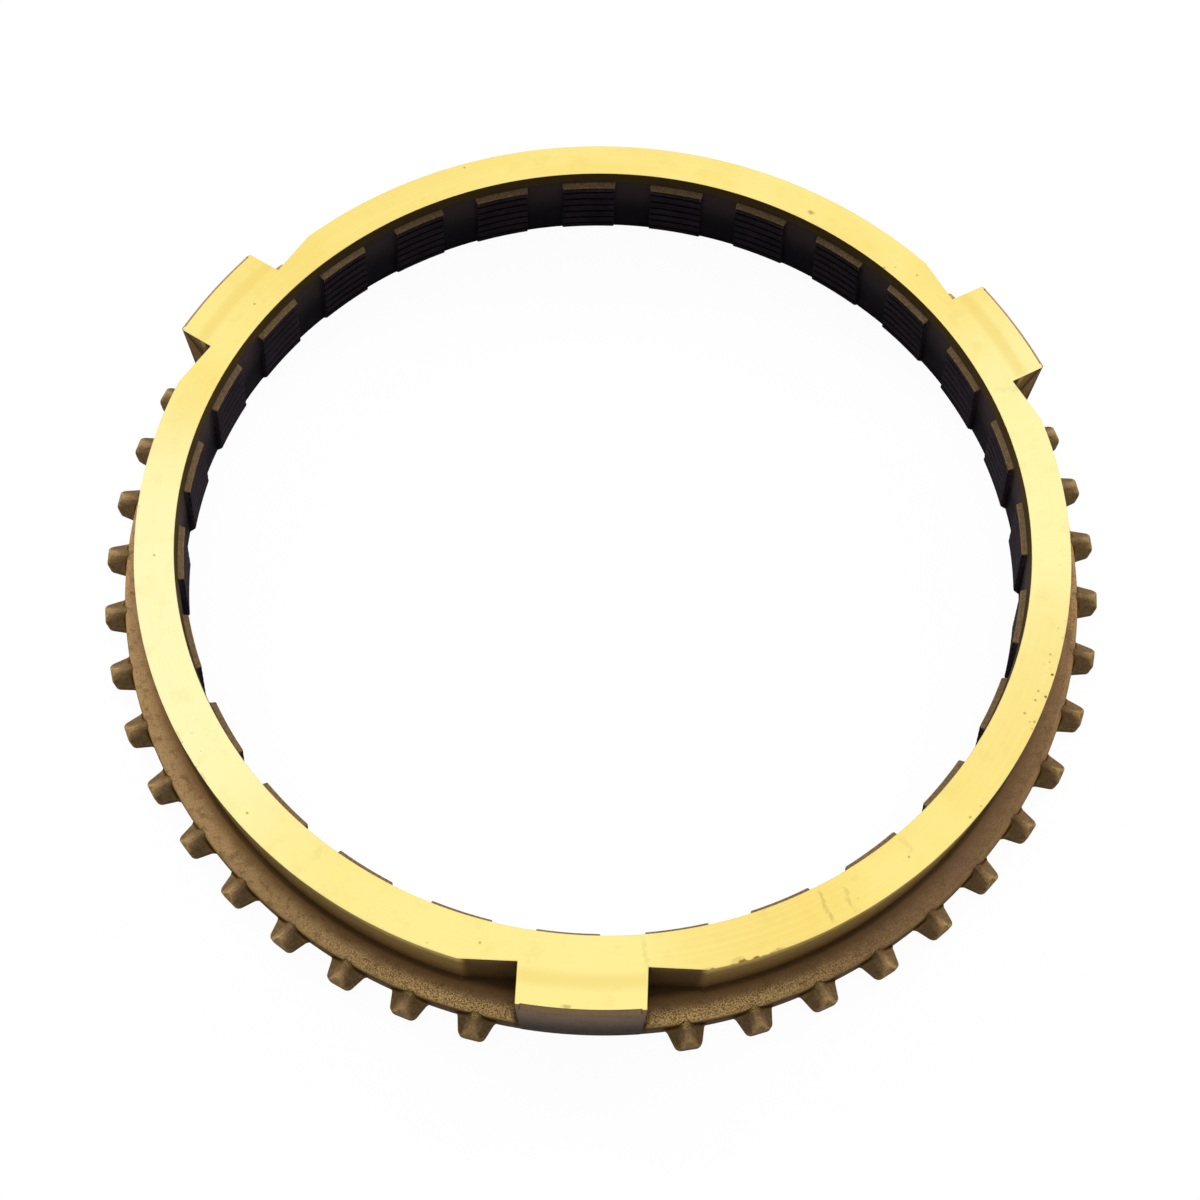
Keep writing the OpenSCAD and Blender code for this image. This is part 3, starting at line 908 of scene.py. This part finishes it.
def dark_bore():
    """Friction cone, blackened by oil and heat, with bare brass on the pads' upper edges."""
    material, n, shader = new_material("dark_bore")
    p = place_fields(n)
    patch = n.noise(p["mm"], 0.4, 4.0, 0.6)
    grit = n.noise(p["mm"], 4.0, 3.0, 0.6)
    r, z = p["r"], p["z"]
    base = n.mix(n.step(patch, 0.3, 0.7), colour(24, 20, 28), colour(36, 31, 40))
    taper = n.math("MULTIPLY", n.math("SUBTRACT", PAD_TOP, z), CONE)
    deep = n.step(n.math("SUBTRACT", r, taper), LAND_R - 0.55, LAND_R - 0.25)
    base = n.mix(deep, base, colour(54, 45, 46))
    # Painted shade: the gaps between the pads darken downwards into the bore
    base = n.tint(base, colour(24, 21, 25), deep, n.step(z, 9.6, 3.0))
    land = n.step(z, PAD_TOP + 0.05, PAD_TOP + 0.25)
    base = n.tint(base, colour(66, 52, 24), land, 0.9)
    upper = both(n, n.step(z, PAD_TOP - LEDGE_FALL - 0.2, PAD_TOP - LEDGE_FALL),
                 n.step(r, LAND_R - 0.02, LAND_R - 0.12))
    bare = n.mix(n.step(grit, 0.3, 0.7), colour(88, 71, 50), colour(116, 95, 68))
    base = n.mix(upper, base, bare)
    # Bare brass on the pads' worn upper edges, partly wear and partly a painted highlight
    worn = n.step(n.math("ADD", n.attribute("edge"), n.math("MULTIPLY", grit, 0.5)), 0.95, 1.4)
    base = n.tint(base, colour(150, 124, 76), worn, n.step(z, 8.5, 9.6, 0.04, 0.6))
    n.put(shader.inputs["Base Color"], base)
    shader.inputs["Specular IOR Level"].default_value = 0.002
    n.put(shader.inputs["Roughness"], n.step(patch, 0.2, 0.8, 0.42, 0.62))
    bumped(n, shader, (patch, 0.2, 0.06), (grit, 0.2, 0.03))
    return material


def dull_back():
    """Flat back face, turned and dulled by use."""
    material, n, shader = new_material("dull_back")
    p = place_fields(n)
    lines = circular_lines(p, n, 3.0)
    patch = n.noise(p["mm"], 0.2, 4.0, 0.6)
    grain = n.noise(p["mm"], 5.0, 3.0, 0.6)
    base = n.mix(n.step(patch, 0.3, 0.7), colour(196, 164, 92), colour(160, 130, 72))
    base = n.tint(base, colour(216, 186, 112), n.step(lines, 0.4, 0.7), 0.35)
    base = n.tint(base, colour(92, 68, 32), pits(n, p["mm"], 0.7, 0.2, 0.25), 0.7)
    base = n.tint(base, colour(120, 92, 50), n.step(p["r"], 52.4, 53.2), 0.5)
    base = n.tint(base, colour(96, 74, 44), n.step(p["r"], 48.9, 48.2), 0.6)
    n.put(shader.inputs["Base Color"], base)
    shader.inputs["Metallic"].default_value = 1.0
    n.put(shader.inputs["Roughness"], n.step(lines, 0.2, 0.8, 0.34, 0.5))
    bumped(n, shader, (lines, 0.25, 0.02), (grain, 0.2, 0.02))
    return material


ring = make_ring()
for build in (turned_brass, forged_brass, dark_bore, dull_back):
    ring.data.materials.append(build())
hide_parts("synchronizer_ring")
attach(ring, "root")

# Camera, fitted to the photo: DISTANCE, SIDE and RISE in units of 50 mm from the middle of the top
# face, FOCAL and PHOTO_WIDTH in the photo's pixels
UNIT = 50 * MM
ELEVATION, ROLL, LUG_OFF = math.radians(64.91), math.radians(-1.878), math.radians(0.74)
DISTANCE, SIDE, RISE, FOCAL = 3.4206, 0.0029, 0.1925, 1586.1
PHOTO_WIDTH, SENSOR = 1200, 36.0

# Floor and light, in metres and watts
FLOOR_HALF, FLOOR_DROP = 3.0, 0.05 * MM
OVERHEAD = (0.0, 0.12, 0.993)  # direction of the middle of the soft light
ROOM_LIGHT, SOFT_LIGHT = 0.09, 2.2
LAMP_SIDE, LAMP_BACK, LAMP_HEIGHT, LAMP_SIZE, LAMP_POWER = 0.6, 0.62, 0.45, 0.4, 7.5


def add_camera():
    ce, se = math.cos(ELEVATION), math.sin(ELEVATION)
    right0, up0, ahead = Vector((1, 0, 0)), Vector((0, se, ce)), Vector((0, ce, -se))
    cr, sr = math.cos(ROLL), math.sin(ROLL)
    right, up = right0 * cr - up0 * sr, right0 * sr + up0 * cr
    centre = (-SIDE * right0 - RISE * up0 - DISTANCE * ahead) * UNIT
    turn = Matrix.Rotation(LUG_OFF, 4, "Z")
    pose = Matrix((right, up, -ahead)).transposed().to_4x4()
    pose.translation = centre + Vector((0, 0, RING_H * MM))
    data = bpy.data.cameras.new("photo_camera")
    data.sensor_width = SENSOR
    data.lens = SENSOR * FOCAL / PHOTO_WIDTH
    data.clip_start, data.clip_end = 0.005, 20.0
    camera = bpy.data.objects.new("photo_camera", data)
    camera.matrix_world = turn @ pose
    bpy.context.scene.collection.objects.link(camera)
    bpy.context.scene.camera = camera


def seen_directly(n):
    """1 for rays that show the background as such: from the camera, in reflections and through glass."""
    path = n.add("ShaderNodeLightPath").outputs
    seen = n.math("MAXIMUM", path["Is Camera Ray"], path["Is Glossy Ray"])
    return n.math("MAXIMUM", seen, path["Is Transmission Ray"])


def add_floor():
    mesh = bpy.data.meshes.new("floor")
    h = FLOOR_HALF
    corners = [(-h, -h, 0), (h, -h, 0), (h, h, 0), (-h, h, 0)]
    mesh.from_pydata(corners, [], [(0, 1, 2, 3)])
    floor = bpy.data.objects.new("floor", mesh)
    floor.location.z = -FLOOR_DROP
    bpy.context.scene.collection.objects.link(floor)
    material = bpy.data.materials.new("floor")
    material.use_nodes = True
    n = Nodes(material.node_tree)
    plain = n.add("ShaderNodeBsdfDiffuse", {"Color": (0.9, 0.9, 0.9, 1)})
    glow = n.add("ShaderNodeEmission", {"Color": (1, 1, 1, 1), "Strength": 1.0})
    shown = n.add("ShaderNodeMixShader", {0: n.math("MULTIPLY", seen_directly(n), 0.96)})
    n.tree.links.new(plain.outputs[0], shown.inputs[1])
    n.tree.links.new(glow.outputs[0], shown.inputs[2])
    out = n.add("ShaderNodeOutputMaterial")
    n.tree.links.new(shown.outputs[0], out.inputs[0])
    mesh.materials.append(material)


def add_world():
    """Soft light from overhead in a dim room; white where the background is seen."""
    world = bpy.data.worlds.new("studio")
    bpy.context.scene.world = world
    world.use_nodes = True
    n = Nodes(world.node_tree)
    towards = n.add("ShaderNodeTexCoord").outputs["Generated"]
    above = n.add("ShaderNodeVectorMath", {0: towards, 1: OVERHEAD}, operation="DOT_PRODUCT").outputs["Value"]
    strength = n.step(above, 0.72, 0.97, ROOM_LIGHT, SOFT_LIGHT)
    soft = n.add("ShaderNodeBackground", {"Color": (1, 1, 1, 1), "Strength": strength})
    white = n.add("ShaderNodeBackground", {"Color": (1, 1, 1, 1), "Strength": 1.0})
    both_kinds = n.add("ShaderNodeMixShader", {0: seen_directly(n)})
    n.tree.links.new(soft.outputs[0], both_kinds.inputs[1])
    n.tree.links.new(white.outputs[0], both_kinds.inputs[2])
    out = n.add("ShaderNodeOutputWorld")
    n.tree.links.new(both_kinds.outputs[0], out.inputs[0])


def add_lamp(name, side):
    """Round lamp behind the ring, on the left for side -1 and on the right for 1."""
    place = Vector((side * LAMP_SIDE, LAMP_BACK, LAMP_HEIGHT))
    data = bpy.data.lights.new(name, "AREA")
    data.shape = "DISK"
    data.size = LAMP_SIZE
    data.energy = LAMP_POWER
    lamp = bpy.data.objects.new(name, data)
    lamp.location = place
    lamp.rotation_euler = (-place).to_track_quat("-Z", "Y").to_euler()
    lamp.visible_glossy = False
    bpy.context.scene.collection.objects.link(lamp)


add_camera()
add_floor()
add_world()
add_lamp("left", -1)
add_lamp("right", 1)

bpy.context.scene.view_settings.view_transform = "Standard"
